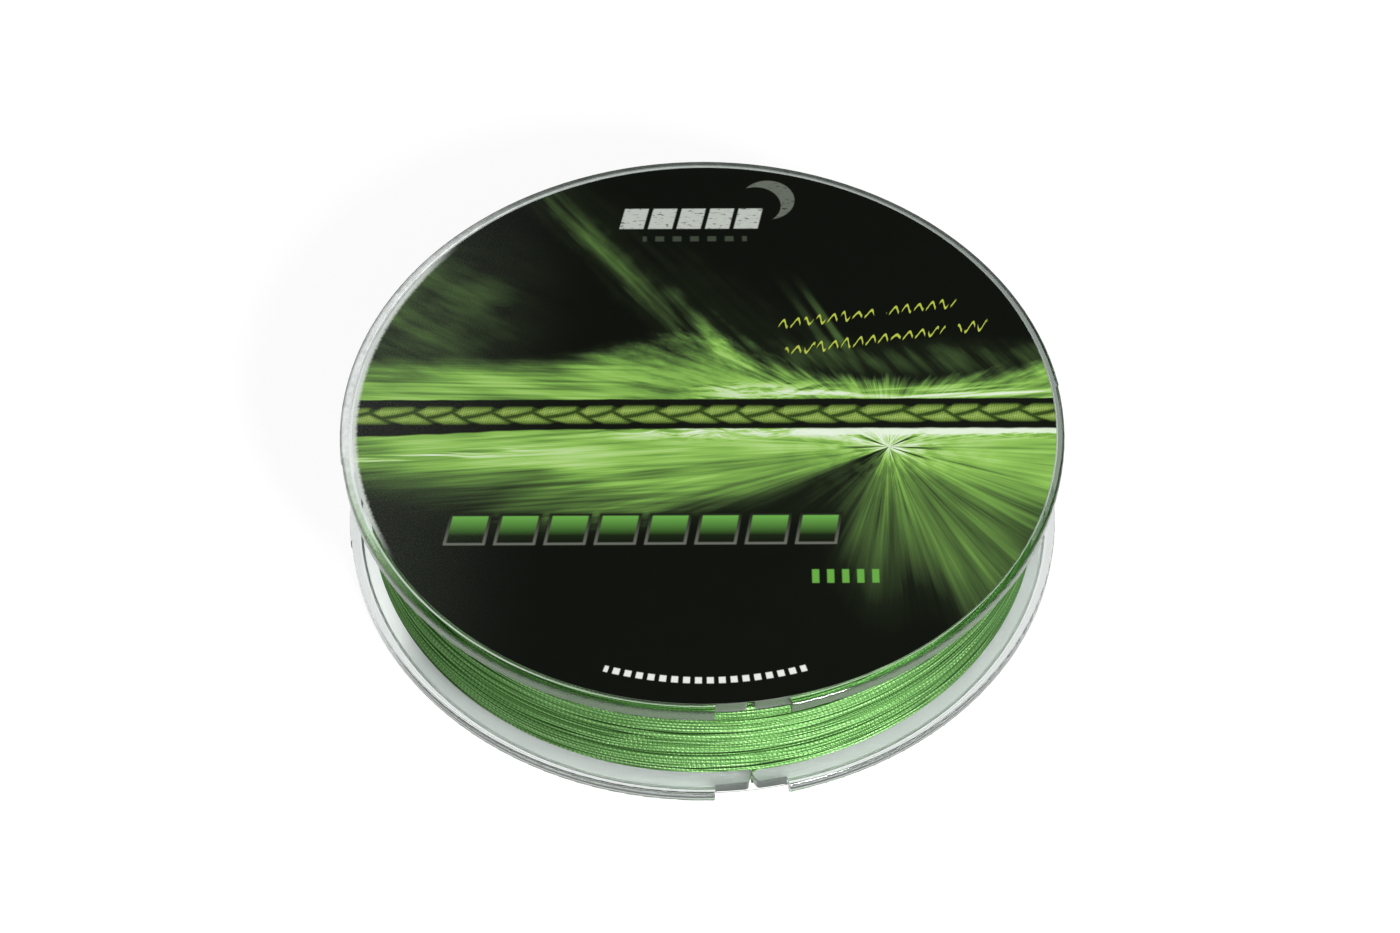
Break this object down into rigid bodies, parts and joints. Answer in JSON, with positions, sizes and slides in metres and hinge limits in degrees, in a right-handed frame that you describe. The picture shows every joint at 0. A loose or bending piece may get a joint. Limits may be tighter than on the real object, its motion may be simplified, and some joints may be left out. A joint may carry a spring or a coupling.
{
  "type": "fishing line spool",
  "caption": "Flat clear plastic spool wound with green braided fishing line, with a printed disc label on each flange and a slit that holds the line's end.",
  "frame": {"origin": "middle of the underside, at the height of the lower rim ring", "axes": "+Z along the spool's axis, up through the printed top label; -Y towards the rim gaps and line slits"},
  "size_m": [0.1, 0.0996, 0.0202],
  "materials": {
    "clear_plastic": "polished clear polystyrene",
    "printed_label": "satin print, white back",
    "braided_line": "tightly braided, slightly waxy",
    "adhesive_tape": "thin translucent film"
  },
  "bodies": {
    "root": {"lower_half": "clear_plastic", "upper_half": "clear_plastic", "top_label": "printed_label", "bottom_label": "printed_label", "line_winding": "braided_line", "line_tag_end": "braided_line", "hub_tape": "adhesive_tape"}
  },
  "joints": []
}
